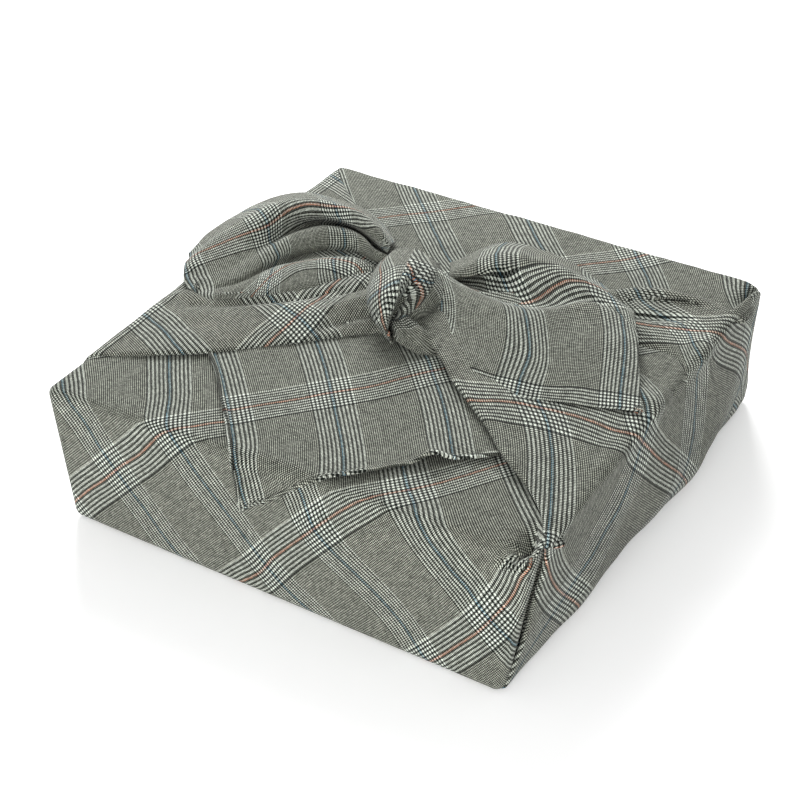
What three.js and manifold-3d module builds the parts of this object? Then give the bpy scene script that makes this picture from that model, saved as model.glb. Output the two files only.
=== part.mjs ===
// Furoshiki wrap: one square of cloth folded round a flat box and tied on top.
//
// Millimetres, +Z up. The origin is the middle of the footprint, on the surface it stands on.
// -Y is the face that the pointed back flap hangs over, +X and -X are the two tied sides.
// The cloth is one piece, so the whole wrap is one filled solid.

import * as THREE from 'three';
import { mergeVertices } from 'three/addons/utils/BufferGeometryUtils.js';
import Module from 'manifold-3d';

const wasm = await Module();
wasm.setup();

// ---------------------------------------------------------------- driving dimensions
const WIDTH = 320; // box with its cloth, left to right
const DEPTH = 335; // front to back
const HEIGHT = 96; // to the covered top of the box
const EDGE_ROUND = 6; // cloth drawn over the box's edges
const CROWN = 2.5; // slack cloth over the middle of the top
const BACK_RISE = 2; // more layers lie over the back edge than over the front one
const FLAP_CLOTH = 2.5; // the back flap with its turned hem
const TAIL_CLOTH = 3; // a tail's cloth with its turned hem
const WING_FLOOR = 86; // underside of the wings' solids, sunk in the body to join it

// ---------------------------------------------------------------- shared shape helpers

// A smooth curve through evenly spaced values, read at 0..1.
function smooth(values, place) {
  const last = values.length - 1;
  const at = Math.min(Math.max(place, 0), 1) * last;
  const i = Math.min(Math.floor(at), last - 1);
  const t = at - i;
  const pick = (k) => values[Math.min(Math.max(k, 0), last)];
  const [a, b, c, d] = [pick(i - 1), pick(i), pick(i + 1), pick(i + 2)];
  return b + 0.5 * t * (c - a + t * (2 * a - 5 * b + 4 * c - d + t * (3 * (b - c) + d - a)));
}

const SAME_POINT = 1e-4;

const mix = (a, b, t) => a + (b - a) * t;

// Leaves a geometry only its points, shared between its faces.
function onlyPoints(geometry) {
  geometry.deleteAttribute('normal');
  geometry.deleteAttribute('uv');
  return mergeVertices(geometry, SAME_POINT);
}

// Moves every vertex of a box geometry with place(a, b, c), where a, b and c run from 0 to 1.
function moulded(stepsA, stepsB, stepsC, place) {
  const geometry = new THREE.BoxGeometry(1, 1, 1, stepsA, stepsB, stepsC);
  const points = geometry.getAttribute('position');
  for (let i = 0; i < points.count; i += 1) {
    const at = place(points.getX(i) + 0.5, points.getY(i) + 0.5, points.getZ(i) + 0.5);
    points.setXYZ(i, at.x, at.y, at.z);
  }
  return onlyPoints(geometry);
}

// A geometry as a solid, turned the right way out when its place() mirrors it.
function solidOf(geometry) {
  const points = new Float32Array(geometry.getAttribute('position').array);
  const faces = new Uint32Array(geometry.getIndex().array);
  const build = () => new wasm.Manifold(
    new wasm.Mesh({ numProp: 3, vertProperties: points, triVerts: faces }),
  );
  const solid = build();
  if (solid.volume() > 0) return solid;
  for (let i = 0; i < faces.length; i += 3) faces.subarray(i, i + 2).reverse();
  return build();
}

// Cloth laid through sections: each section runs from a back point to a front point,
// and its rise gives the height of every fold line that crosses it.
function laidCloth({ sections, folds, stepsAlong, stepsAcross, underside }) {
  return moulded(stepsAlong, stepsAcross, 1, (along, across, side) => {
    const read = (pick) => smooth(sections.map(pick), along);
    const share = smooth(folds, across);
    const x = mix(read((s) => s.back[0]), read((s) => s.front[0]), share);
    const y = mix(read((s) => s.back[1]), read((s) => s.front[1]), share);
    const top = smooth(folds.map((_, k) => read((s) => s.rise[k])), across);
    return new THREE.Vector3(x, y, side > 0.5 ? top : underside(top));
  });
}

// ---------------------------------------------------------------- cloth round the box

// Plan positions of the four corners, at the top edge and where the cloth meets the surface.
const CORNERS = {
  near: { top: [166, -166], foot: [154, -176] },
  right: { top: [165, 164], foot: [158, 174] },
  far: { top: [-166, 170], foot: [-160, 170] },
  left: { top: [-164, -171], foot: [-155, -168] },
};

// Long soft folds on the two tied sides: from the foot up to the top edge.
// start and end are places along the side, 0 at the front corner and 1 at the back one.
const SIDE_FOLDS = [
  { side: 1, name: 'near pull', foot: 0.3, top: 0.1, proud: 5, spread: 0.09 },
  { side: 1, name: 'first swell', foot: 0.67, top: 0.4, proud: 11, spread: 0.13 },
  { side: 1, name: 'second swell', foot: 0.93, top: 0.78, proud: 6, spread: 0.07 },
  { side: -1, name: 'front swell', foot: 0.24, top: 0.38, proud: 5, spread: 0.1 },
  { side: -1, name: 'back swell', foot: 0.74, top: 0.6, proud: 5, spread: 0.1 },
];

const SIDE_SLACK = 2; // all along the tied sides

// Height of the cloth over the box's top, across and deep running from 0 to 1.
const topOfBox = (across, deep) => HEIGHT + BACK_RISE * deep
  + CROWN * Math.sin(Math.PI * across) * Math.sin(Math.PI * deep);

const bell = (distance, spread) => Math.exp(-((distance / spread) ** 2));

// Crowds the body's mesh lines into its rounded edges: two steps at each end of a side.
const BODY_STEPS = 14;
const RIM_STEPS = 2;
function edgeLines(t, size) {
  const rim = 2 * EDGE_ROUND / size; // of the half width
  const half = Math.abs(2 * t - 1) * (BODY_STEPS / 2);
  const flatSteps = BODY_STEPS / 2 - RIM_STEPS;
  const flat = Math.min(half / flatSteps, 1) * (1 - rim);
  const round = Math.max(half - flatSteps, 0) / RIM_STEPS * rim;
  return (flat + round) * Math.sign(t - 0.5) * size / 2;
}

function wrappedBox() {
  const half = new THREE.Vector3(WIDTH / 2, DEPTH / 2, HEIGHT / 2);
  const core = half.clone().subScalar(EDGE_ROUND);
  return moulded(BODY_STEPS, BODY_STEPS, BODY_STEPS, (a, b, c) => {
    const raw = new THREE.Vector3(edgeLines(a, WIDTH), edgeLines(b, DEPTH), edgeLines(c, HEIGHT));
    const inner = raw.clone().clamp(core.clone().negate(), core);
    const out = raw.clone().sub(inner);
    const at = inner.add(out.lengthSq() > 0 ? out.setLength(EDGE_ROUND) : out);

    const across = at.x / WIDTH + 0.5;
    const deep = at.y / DEPTH + 0.5;
    const up = at.z / HEIGHT + 0.5;
    const corner = (axis) => {
      const level = (c) => mix(c.foot[axis], c.top[axis], up);
      const front = mix(level(CORNERS.left), level(CORNERS.near), across);
      const back = mix(level(CORNERS.far), level(CORNERS.right), across);
      return mix(front, back, deep);
    };
    // The cloth is slackest low on the sides, and drawn tight over the top edge.
    const swell = Math.sin(Math.PI * Math.sqrt(Math.min(Math.max(up, 0), 1)));
    const sideShare = Math.abs(2 * across - 1) ** 3 * Math.sign(across - 0.5);
    let push = SIDE_SLACK * Math.sin(Math.PI * deep) * swell;
    for (const fold of SIDE_FOLDS) {
      const line = mix(fold.foot, fold.top, up);
      if (fold.side * sideShare > 0) push += fold.proud * swell * bell(deep - line, fold.spread);
    }
    const lift = (topOfBox(across, deep) - HEIGHT) * Math.max(0, 2 * up - 1);
    return new THREE.Vector3(corner(0) + push * sideShare, corner(1), at.z + HEIGHT / 2 + lift);
  });
}

// ---------------------------------------------------------------- back flap

// The back corner of the square, drawn over the top, its point hanging over the front edge.
// behind is the way back from the front top edge along the cloth, and below it is negative.
const FLAP_SECTIONS = [
  { behind: -36, left: -27, right: -22, proud: 2 },
  { behind: -24, left: -29, right: -6, proud: 2.2 },
  { behind: -12, left: -31, right: 14, proud: 2.5 },
  { behind: 0, left: -34, right: 32, proud: 3 },
  { behind: 20, left: -50, right: 50, proud: 3 },
  { behind: 50, left: -78, right: 84, proud: 2.5 },
  { behind: 80, left: -104, right: 112, proud: 2 },
  { behind: 110, left: -120, right: 118, proud: 1 },
  { behind: 150, left: -110, right: 110, proud: -2 },
];
const FRONT_EDGE = -168; // where the top meets the front
const FLAP_BEND = 9; // radius of the bend over the front edge

function backFlap() {
  return moulded(16, 6, 1, (along, across, side) => {
    const read = (key) => smooth(FLAP_SECTIONS.map((s) => s[key]), along);
    const behind = read('behind');
    const x = mix(read('left'), read('right'), across);
    const depth = side > 0.5 ? 0 : FLAP_CLOTH + 4;
    const arc = FLAP_BEND * Math.PI / 2;
    const turn = Math.min(Math.max((FLAP_BEND - behind) / arc, 0), 1) * Math.PI / 2;
    const hang = Math.max(FLAP_BEND - behind - arc, 0);
    const radius = FLAP_BEND - depth;
    const front = FRONT_EDGE - read('proud');
    const y = behind > FLAP_BEND ? front + behind : front + FLAP_BEND - Math.sin(turn) * radius;
    const top = topOfBox(x / WIDTH + 0.5, y / DEPTH + 0.5) + read('proud');
    const z = behind > FLAP_BEND ? top - depth : top - FLAP_BEND + Math.cos(turn) * radius - hang;
    return new THREE.Vector3(x, y, z);
  });
}

// ---------------------------------------------------------------- tied wings

// Both wings run from a side's top edge to the knot, over the diagonals of the top.
const WING_FOLDS = [0, 0.14, 0.32, 0.46, 0.62, 0.76, 0.92, 1];

const LEFT_WING = [
  { at: 'side edge', back: [-164, 152], front: [-161, -132], rise: [89, 97, 99, 101, 100, 100, 97, 89] },
  { at: 'shoulder', back: [-148, 134], front: [-142, -118], rise: [90, 103, 105, 107, 105, 107, 105, 90] },
  { at: 'outer', back: [-120, 112], front: [-104, -89], rise: [90, 106, 106, 109, 107, 110, 108, 90] },
  { at: 'middle', back: [-92, 90], front: [-74, -62], rise: [90, 109, 107, 111, 109, 112, 111, 90] },
  { at: 'inner', back: [-66, 68], front: [-50, -40], rise: [90, 112, 110, 115, 112, 115, 112, 90] },
  { at: 'throat', back: [-40, 46], front: [-24, -22], rise: [90, 118, 116, 120, 118, 119, 115, 90] },
  { at: 'under knot', back: [-14, 30], front: [-4, -20], rise: [90, 116, 118, 120, 118, 116, 112, 90] },
];

const RIGHT_WING = [
  { at: 'under knot', back: [-12, 26], front: [-6, -16], rise: [90, 112, 114, 116, 114, 112, 108, 90] },
  { at: 'throat', back: [14, 36], front: [14, -16], rise: [90, 115, 114, 115, 113, 114, 110, 90] },
  { at: 'inner', back: [42, 66], front: [40, -38], rise: [90, 110, 107, 110, 107, 110, 107, 90] },
  { at: 'middle', back: [78, 104], front: [78, -72], rise: [90, 109, 101, 107, 104, 107, 105, 90] },
  { at: 'outer', back: [110, 122], front: [110, -105], rise: [90, 107, 101, 104, 103, 105, 104, 90] },
  { at: 'shoulder', back: [142, 130], front: [142, -136], rise: [90, 103, 102, 103, 102, 103, 102, 90] },
  { at: 'side edge', back: [162, 152], front: [165, -162], rise: [88, 94, 94, 95, 95, 96, 95, 88] },
];

const wing = (sections) => laidCloth({
  sections, folds: WING_FOLDS, stepsAlong: 14, stepsAcross: 16, underside: () => WING_FLOOR,
});

// ---------------------------------------------------------------- tails past the knot

const TAIL_FOLDS = [0, 0.1, 0.27, 0.4, 0.52, 0.64, 0.76, 0.9, 1];

// Left tail: bunched, its back hem behind the high crest and its end rolled under.
const LEFT_TAIL = [
  { at: 'knot', back: [-28, 40], front: [-30, 16], rise: [112, 124, 121, 117, 119, 115, 117, 113, 107] },
  { at: 'throat', back: [-42, 48], front: [-44, 14], rise: [110, 127, 123, 116, 120, 112, 118, 114, 106] },
  { at: 'near', back: [-70, 64], front: [-58, 0], rise: [106, 131, 126, 116, 122, 111, 120, 116, 107] },
  { at: 'middle', back: [-104, 74], front: [-74, -14], rise: [104, 132, 127, 117, 122, 111, 120, 116, 107] },
  { at: 'far', back: [-138, 64], front: [-92, -28], rise: [103, 129, 125, 118, 120, 113, 118, 113, 106] },
  { at: 'end', back: [-162, 34], front: [-116, -40], rise: [102, 122, 121, 119, 118, 114, 115, 111, 104] },
  { at: 'rim', back: [-176, 2], front: [-136, -50], rise: [101, 111, 113, 113, 112, 111, 110, 107, 101] },
];

// Right tail: broad, a roll along its back edge and the square corner of the cloth at its tip.
const RIGHT_TAIL = [
  { at: 'knot', back: [0, 30], front: [0, -8], rise: [112, 120, 120, 118, 121, 118, 117, 113, 106] },
  { at: 'throat', back: [4, 44], front: [12, -16], rise: [112, 124, 121, 117, 123, 121, 119, 114, 107] },
  { at: 'near', back: [8, 72], front: [38, -32], rise: [107, 125, 121, 113, 121, 123, 115, 112, 105] },
  { at: 'middle', back: [30, 100], front: [74, -45], rise: [104, 121, 118, 111, 117, 119, 112, 110, 104] },
  { at: 'far', back: [76, 98], front: [112, -38], rise: [102, 113, 114, 111, 113, 115, 112, 109, 103] },
  { at: 'wide', back: [98, 84], front: [140, -26], rise: [101, 107, 110, 110, 111, 112, 110, 107, 102] },
  { at: 'hem', back: [106, 76], front: [158, -16], rise: [100, 103, 106, 107, 108, 107, 106, 103, 100] },
];

const tail = (sections) => laidCloth({
  sections, folds: TAIL_FOLDS, stepsAlong: 18, stepsAcross: 20, underside: (top) => top - TAIL_CLOTH,
});

// ---------------------------------------------------------------- gathered strands

// A strand of gathered cloth through its stations. lean is the way its width lies,
// wide and high are half its width and half its thickness, and both ends are rounded.
const STRAND_SIDES = 12;
const STRAND_STEPS = 16;

function strand(stations) {
  const geometry = new THREE.SphereGeometry(1, STRAND_SIDES, STRAND_STEPS);
  const points = geometry.getAttribute('position');
  const read = (key, axis, t) => smooth(stations.map((s) => (axis < 0 ? s[key] : s[key][axis])), t);
  const vector = (key, t) => new THREE.Vector3(read(key, 0, t), read(key, 1, t), read(key, 2, t));
  const step = 0.02; // along the strand, to find its direction
  for (let i = 0; i < points.count; i += 1) {
    const along = Math.acos(Math.min(Math.max(points.getY(i), -1), 1)) / Math.PI;
    const around = Math.atan2(points.getZ(i), points.getX(i));
    const ahead = vector('at', along + step).sub(vector('at', along - step)).normalize();
    const lean = vector('lean', along);
    lean.addScaledVector(ahead, -lean.dot(ahead)).normalize();
    const up = ahead.clone().cross(lean);
    const full = Math.sqrt(Math.max(1 - (2 * along - 1) ** 6, 0));
    const at = vector('at', along)
      .addScaledVector(lean, read('wide', -1, along) * full * Math.cos(around))
      .addScaledVector(up, read('high', -1, along) * full * Math.sin(around));
    points.setXYZ(i, at.x, at.y, at.z);
  }
  return onlyPoints(geometry);
}

// ---------------------------------------------------------------- square knot

const EGG_SIDES = 14;
const EGG_RINGS = 9;

const KNOT_CORE = { middle: [-13, 4, 110], half: [22, 32, 20] };

// The band that crosses the knot from back to front and turns under at the bottom.
const KNOT_BAND = [
  { at: [-12, 42, 108], lean: [1, 0, 0], wide: 12, high: 7 },
  { at: [-17, 33, 125], lean: [1, 0.1, 0], wide: 15, high: 8 },
  { at: [-16, 12, 131], lean: [1, 0.1, 0.1], wide: 20, high: 8 },
  { at: [-13, -8, 128], lean: [1, 0.15, 0.15], wide: 20, high: 9 },
  { at: [-10, -22, 118], lean: [1, 0, 0.2], wide: 14, high: 9 },
  { at: [-6, -28, 107], lean: [1, 0, 0.2], wide: 8, high: 6 },
  { at: [-4, -20, 98], lean: [1, 0, 0], wide: 6, high: 5 },
];

// The strand that comes out below the band, over the front of the right wing.
const KNOT_LOBE = [
  { at: [-12, -6, 106], lean: [0.3, 1, 0.2], wide: 10, high: 6 },
  { at: [2, -20, 109], lean: [0.5, 1, 0], wide: 10, high: 8 },
  { at: [17, -22, 105], lean: [0.5, 1, 0], wide: 9, high: 7 },
  { at: [26, -16, 97], lean: [0.5, 1, 0], wide: 8, high: 5 },
];

function egg({ middle, half }) {
  const geometry = new THREE.SphereGeometry(1, EGG_SIDES, EGG_RINGS);
  geometry.scale(...half);
  geometry.translate(...middle);
  return onlyPoints(geometry);
}

// ---------------------------------------------------------------- folds at the corners

// Two upright folds meet at the near corner with a groove between them.
const NEAR_FRONT_FOLD = [
  { at: [149, -172, 3], lean: [1, 0, 0], wide: 5, high: 3 },
  { at: [155, -171, 34], lean: [1, 0, 0], wide: 6, high: 4 },
  { at: [159, -169, 66], lean: [1, 0, 0], wide: 7, high: 5 },
  { at: [162, -166, 88], lean: [1, 0.3, 0], wide: 6, high: 5 },
  { at: [160, -152, 98], lean: [1, 0.5, 0], wide: 5, high: 3 },
];
const NEAR_WING_FOLD = [
  { at: [155, -168, 3], lean: [0, 1, 0], wide: 5, high: 3 },
  { at: [162, -161, 36], lean: [0, 1, 0], wide: 6, high: 5 },
  { at: [167, -157, 68], lean: [0, 1, 0], wide: 7, high: 5 },
  { at: [166, -154, 93], lean: [0, 1, 0.2], wide: 7, high: 5 },
  { at: [148, -138, 99], lean: [0.7, 0.7, 0.2], wide: 6, high: 3 },
  { at: [120, -112, 100], lean: [0.7, 0.7, 0.2], wide: 5, high: 3 },
];
// Slack between the front cloth and the top near that corner opens into a small pocket.
const NEAR_POCKET = { middle: [146, -160, 94], half: [14, 6, 9] };

// The wing's edge is drawn over the right corner in one small fold.
const RIGHT_CORNER_FOLD = [
  { at: [116, 120, 99], lean: [0.4, 1, 0], wide: 5, high: 2 },
  { at: [138, 130, 101], lean: [0.5, 1, 0], wide: 6, high: 3 },
  { at: [156, 147, 100], lean: [0.5, 1, 0], wide: 6, high: 3 },
  { at: [163, 153, 86], lean: [0, 1, 0], wide: 5, high: 3 },
];

// ---------------------------------------------------------------- the one solid

// Joins the cloth, opens the pocket and keeps the outer skin, so no air is sealed inside.
function joined(laid, hollow) {
  const whole = laid.map(solidOf).reduce((sum, piece) => sum.add(piece)).subtract(solidOf(hollow));
  const outer = whole.decompose().reduce((best, skin) => (skin.volume() > best.volume() ? skin : best));
  const mesh = outer.getMesh();
  const geometry = new THREE.BufferGeometry();
  geometry.setAttribute('position', new THREE.BufferAttribute(new Float32Array(mesh.vertProperties), 3));
  geometry.setIndex(new THREE.BufferAttribute(new Uint32Array(mesh.triVerts), 1));
  geometry.computeVertexNormals();
  return geometry;
}

const checkedCloth = new THREE.MeshStandardMaterial({ color: 0x7f8277, roughness: 0.92, metalness: 0 });

const wrap = new THREE.Mesh(
  joined([
    wrappedBox(),
    backFlap(),
    wing(LEFT_WING),
    wing(RIGHT_WING),
    tail(LEFT_TAIL),
    tail(RIGHT_TAIL),
    egg(KNOT_CORE),
    strand(KNOT_BAND),
    strand(KNOT_LOBE),
    strand(NEAR_FRONT_FOLD),
    strand(NEAR_WING_FOLD),
    strand(RIGHT_CORNER_FOLD),
  ], egg(NEAR_POCKET)),
  checkedCloth,
);
wrap.name = 'furoshiki_cloth';

const furoshikiWrap = new THREE.Group();
furoshikiWrap.add(wrap);

export default furoshikiWrap;
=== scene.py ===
"""A furoshiki wrap: one square of checked cloth folded round a flat box and knotted on top."""

import math

import bpy
import numpy as np
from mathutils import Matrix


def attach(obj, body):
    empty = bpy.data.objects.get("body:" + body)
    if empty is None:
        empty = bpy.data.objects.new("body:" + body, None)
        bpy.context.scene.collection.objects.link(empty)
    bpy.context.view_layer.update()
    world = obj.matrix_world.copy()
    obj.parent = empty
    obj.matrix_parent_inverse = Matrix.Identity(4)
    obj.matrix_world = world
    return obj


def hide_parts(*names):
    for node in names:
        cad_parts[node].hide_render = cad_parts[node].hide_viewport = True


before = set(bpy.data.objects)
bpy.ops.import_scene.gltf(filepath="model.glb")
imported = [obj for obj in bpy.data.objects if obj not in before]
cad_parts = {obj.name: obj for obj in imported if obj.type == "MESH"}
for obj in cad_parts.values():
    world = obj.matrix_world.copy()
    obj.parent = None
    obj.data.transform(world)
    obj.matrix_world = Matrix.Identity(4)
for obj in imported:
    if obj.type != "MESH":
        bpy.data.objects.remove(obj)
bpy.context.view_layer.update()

# ---------------------------------------------------------------- table, light and camera
# The wrap stands on a plain white table in a white room. One large soft light stands behind it
# on the left, and a wider one stands low in front of it.

scene = bpy.context.scene


def put_in_scene(name, data):
    """A new object with that data, in the scene."""
    thing = bpy.data.objects.new(name, data)
    scene.collection.objects.link(thing)
    return thing


def fill(tree, node, values):
    """Sets a node's inputs, by name or by number, or links them where the value is a socket."""
    for key, value in values.items():
        if isinstance(value, bpy.types.NodeSocket):
            tree.links.new(value, node.inputs[key])
        else:
            node.inputs[key].default_value = value


def painted(name, look):
    """A new material whose Principled shader has that look."""
    material = bpy.data.materials.new(name)
    material.use_nodes = True
    fill(material.node_tree, material.node_tree.nodes["Principled BSDF"], look)
    return material


CAMERA_PLACE = (0.48456, -0.84013, 0.69324)  # m
CAMERA_TILT = 56.22  # degrees up from straight down
CAMERA_TURN = 30.75  # degrees to the left
camera_data = bpy.data.cameras.new("camera")
camera_data.lens = 81
camera_data.sensor_width = 36
camera = put_in_scene("camera", camera_data)
camera.location = CAMERA_PLACE
camera.rotation_euler = (math.radians(CAMERA_TILT), 0, math.radians(CAMERA_TURN))
scene.camera = camera
scene.view_settings.view_transform = "Standard"

TABLE_HALF = 6  # m
TABLE_TOP = -0.0004  # m, just clear of the cloth
TABLE_LOOK = {
    "Base Color": (0.93, 0.93, 0.93, 1),
    "Roughness": 0.9,
    "Emission Color": (1, 1, 1, 1),
    "Emission Strength": 0.24,  # the light that a white room gives back
}
table_corners = [
    (x * TABLE_HALF, y * TABLE_HALF, TABLE_TOP) for x, y in ((-1, -1), (1, -1), (1, 1), (-1, 1))
]
table_mesh = bpy.data.meshes.new("table")
table_mesh.from_pydata(table_corners, [], [(0, 1, 2, 3)])
table_mesh.materials.append(painted("table paint", TABLE_LOOK))
table = put_in_scene("table", table_mesh)

walls = bpy.data.worlds.new("white walls")
walls.use_nodes = True
fill(walls.node_tree, walls.node_tree.nodes["Background"], {"Color": (1, 1, 1, 1), "Strength": 0.62})
scene.world = walls

SOFT_BOXES = [  # name, place in m, width in m, power in W
    ("back light", (-0.8, 1.1, 1.05), 0.9, 42),
    ("front light", (0.4, -1.8, 0.42), 1.1, 30),
]
for name, place, size, power in SOFT_BOXES:
    lamp = bpy.data.lights.new(name, "AREA")
    lamp.size = size
    lamp.energy = power
    light = put_in_scene(name, lamp)
    light.location = place
    light.rotation_mode = "QUATERNION"
    light.rotation_quaternion = light.location.to_track_quat("Z", "Y")

# ---------------------------------------------------------------- the cloth
# One square of light wool-like cloth, woven as a glen check in a 2/2 twill of dark and pale
# threads. In the middle of each band one group of pale threads is blue one way, rust the other.

CLOTH = 0.8  # mm, its thickness
THREAD = 0.3175  # mm from one thread to the next
GROUP = 4  # threads of one tone side by side in a band, and in one repeat of the twill
BAND = 88  # threads: eleven pairs of four dark and four pale
BLUE_REPEAT = 204  # threads from one blue line to the next
RUST_REPEAT = 312
LINE_PLACE = 46 * THREAD  # mm from a band's edge to the middle of its coloured line
INK = (0.004, 0.006, 0.004, 1)
CHALK = (0.57, 0.61, 0.54, 1)
STONE = (0.375, 0.390, 0.328, 1)  # the pale threads between the bands
BLUE = (0.095, 0.210, 0.270, 1)
RUST = (0.50, 0.225, 0.140, 1)
WEAVE_INPUTS = [  # name, kind, value
    ("Place", "Vector", (0, 0, 0)),
    ("Thread", "Float", THREAD / 1000),
    ("Show through", "Float", -0.68),
    ("Dark", "Color", INK),
    ("Pale", "Color", CHALK),
    ("Pale between", "Color", STONE),
    ("Blue", "Color", BLUE),
    ("Rust", "Color", RUST),
]


def made(tree, kind, values, **settings):
    """A new node with those settings and inputs."""
    node = tree.nodes.new(kind)
    for name, value in settings.items():
        setattr(node, name, value)
    fill(tree, node, values)
    return node


def give_inputs(tree, inputs):
    """Adds named inputs to a node group, each given as (name, kind, value); None is no value."""
    for name, kind, value in inputs:
        socket = tree.interface.new_socket(name, in_out="INPUT", socket_type="NodeSocket" + kind)
        if value is not None:
            socket.default_value = value


def counted(tree, operation, *values):
    """The result of a math node fed by sockets or numbers."""
    return made(tree, "ShaderNodeMath", dict(enumerate(values)), operation=operation).outputs[0]


def blended(tree, share, first, second):
    """The first colour where share is 0 and the second where it is 1."""
    values = {0: share, 6: first, 7: second}  # the Mix node's inputs for colours
    return made(tree, "ShaderNodeMix", values, data_type="RGBA").outputs[2]


def shaded(tree, colour, factor):
    """A colour made darker or lighter by a factor."""
    values = {0: colour, "Scale": factor}
    return made(tree, "ShaderNodeVectorMath", values, operation="SCALE").outputs[0]


def spotted(tree, place, scale, detail, gain, least):
    """A factor that changes softly from place to place, from least by up to gain."""
    values = {"Vector": place, "Scale": scale, "Detail": detail}
    spots = made(tree, "ShaderNodeTexNoise", values).outputs["Fac"]
    return counted(tree, "MULTIPLY_ADD", spots, gain, least)


def thread_order(tree, place, repeat, start, sockets, line):
    """The number and the colour of the threads across one direction, counted from a band's edge."""
    number = counted(tree, "FLOOR", place)
    turn = counted(tree, "FLOORED_MODULO", number, repeat)
    in_band = counted(tree, "LESS_THAN", turn, BAND - 0.5)
    in_pair = counted(tree, "FLOORED_MODULO", turn, 2 * GROUP)
    wide = counted(tree, "GREATER_THAN", in_pair, GROUP - 0.5)
    in_group = counted(tree, "FLOORED_MODULO", counted(tree, "ADD", number, start), GROUP)
    fine = counted(tree, "GREATER_THAN", in_group, GROUP / 2 - 0.5)
    from_middle = counted(tree, "ABSOLUTE", counted(tree, "SUBTRACT", turn, BAND / 2 + 1.5))
    on_line = counted(tree, "LESS_THAN", from_middle, GROUP / 2)
    banded = blended(tree, wide, sockets["Dark"], blended(tree, on_line, sockets["Pale"], line))
    ground = blended(tree, fine, sockets["Dark"], sockets["Pale between"])
    return number, blended(tree, in_band, ground, banded)


def is_pale(tree, colour):
    """1 for a pale or coloured thread and 0 for a dark one."""
    green = made(tree, "ShaderNodeSeparateColor", {0: colour}).outputs[1]
    return counted(tree, "GREATER_THAN", green, 0.03)


def uneven_yarn(tree, colour, thread, run, start):
    """The same colour, lighter and darker along each thread as hand-spun yarn is."""
    beside = counted(tree, "MULTIPLY", thread, 0.45)
    along = counted(tree, "MULTIPLY", run, 0.07)
    spot = made(tree, "ShaderNodeCombineXYZ", {0: beside, 1: along, 2: start}).outputs[0]
    return shaded(tree, colour, spotted(tree, spot, 1, 1, 2.4, -0.2))


def roundness(tree, place):
    """0 between two threads and 1 on the middle of one."""
    off = counted(tree, "SUBTRACT", counted(tree, "FRACT", place), 0.5)
    fall = counted(tree, "MULTIPLY", counted(tree, "MULTIPLY", off, off), 4)
    return counted(tree, "SUBTRACT", 1, fall)


def glen_check():
    """The shader group that weaves the cloth: a place on it in m gives its colour, with painted shade in the
    hollows between the threads, and its relief.
    """
    weave = bpy.data.node_groups.new("glen check", "ShaderNodeTree")
    give_inputs(weave, WEAVE_INPUTS)
    weave.interface.new_socket("Color", in_out="OUTPUT", socket_type="NodeSocketColor")
    weave.interface.new_socket("Height", in_out="OUTPUT", socket_type="NodeSocketFloat")
    given = weave.nodes.new("NodeGroupInput").outputs
    split = made(weave, "ShaderNodeSeparateXYZ", {0: given["Place"]}).outputs
    across = counted(weave, "DIVIDE", split[0], given["Thread"])
    along = counted(weave, "DIVIDE", split[1], given["Thread"])
    warp, warp_colour = thread_order(weave, across, BLUE_REPEAT, 0, given, given["Blue"])
    weft, weft_colour = thread_order(weave, along, RUST_REPEAT, GROUP / 2, given, given["Rust"])

    # a pale thread that crosses dark ones looks darker, as they show through beside it
    difference = counted(weave, "SUBTRACT", is_pale(weave, warp_colour), is_pale(weave, weft_colour))
    mixed_threads = counted(weave, "ABSOLUTE", difference)
    crossing_shade = counted(weave, "MULTIPLY_ADD", mixed_threads, given["Show through"], 1)

    warp_colour = uneven_yarn(weave, warp_colour, warp, along, 3.3)
    weft_colour = uneven_yarn(weave, weft_colour, weft, across, 8.7)
    twill = counted(weave, "FLOORED_MODULO", counted(weave, "ADD", warp, weft), GROUP)
    warp_on_top = counted(weave, "LESS_THAN", twill, GROUP / 2 - 0.5)
    weft_on_top = counted(weave, "SUBTRACT", 1, warp_on_top)
    warp_relief = counted(weave, "MULTIPLY", warp_on_top, roundness(weave, across))
    weft_relief = counted(weave, "MULTIPLY", weft_on_top, roundness(weave, along))
    height = counted(weave, "ADD", warp_relief, weft_relief)
    # painted shade: each thread is darker towards its edges and in the hollows between threads
    hollow_shade = counted(weave, "MULTIPLY_ADD", height, 0.22, 0.85)
    shade = counted(weave, "MULTIPLY", hollow_shade, crossing_shade)
    top_colour = blended(weave, warp_on_top, weft_colour, warp_colour)
    made(weave, "NodeGroupOutput", {"Color": shaded(weave, top_colour, shade), "Height": height})
    return weave


CLOTH_LOOK = {
    "Roughness": 0.88,
    "Specular IOR Level": 0.12,
    "Sheen Weight": 0.06,
    "Sheen Roughness": 0.5,
}
checked_cloth = painted("checked cloth", CLOTH_LOOK)
tree = checked_cloth.node_tree
place = made(tree, "ShaderNodeUVMap", {}, uv_map="cloth").outputs[0]
check = made(tree, "ShaderNodeGroup", {"Place": place}, node_tree=glen_check()).outputs
fibres = spotted(tree, place, 900, 3, 0.8, 0.6)
patches = spotted(tree, place, 22, 2, 0.12, 0.94)
# random tone of the fibres and patches, over a colour that already holds the painted shade between the
# threads
dyed_and_shaded = shaded(tree, check["Color"], counted(tree, "MULTIPLY", fibres, patches))
relief = made(tree, "ShaderNodeBump", {"Strength": 0.35, "Distance": 0.0001, "Height": check["Height"]})
fill(tree, tree.nodes["Principled BSDF"], {"Base Color": dyed_and_shaded, "Normal": relief.outputs[0]})

# ---------------------------------------------------------------- inner wrap
# The front corner of the square, drawn up over the front of the box and across its top first,
# with the middle of the square under the box. It is held down by the three corners laid over it.

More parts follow.
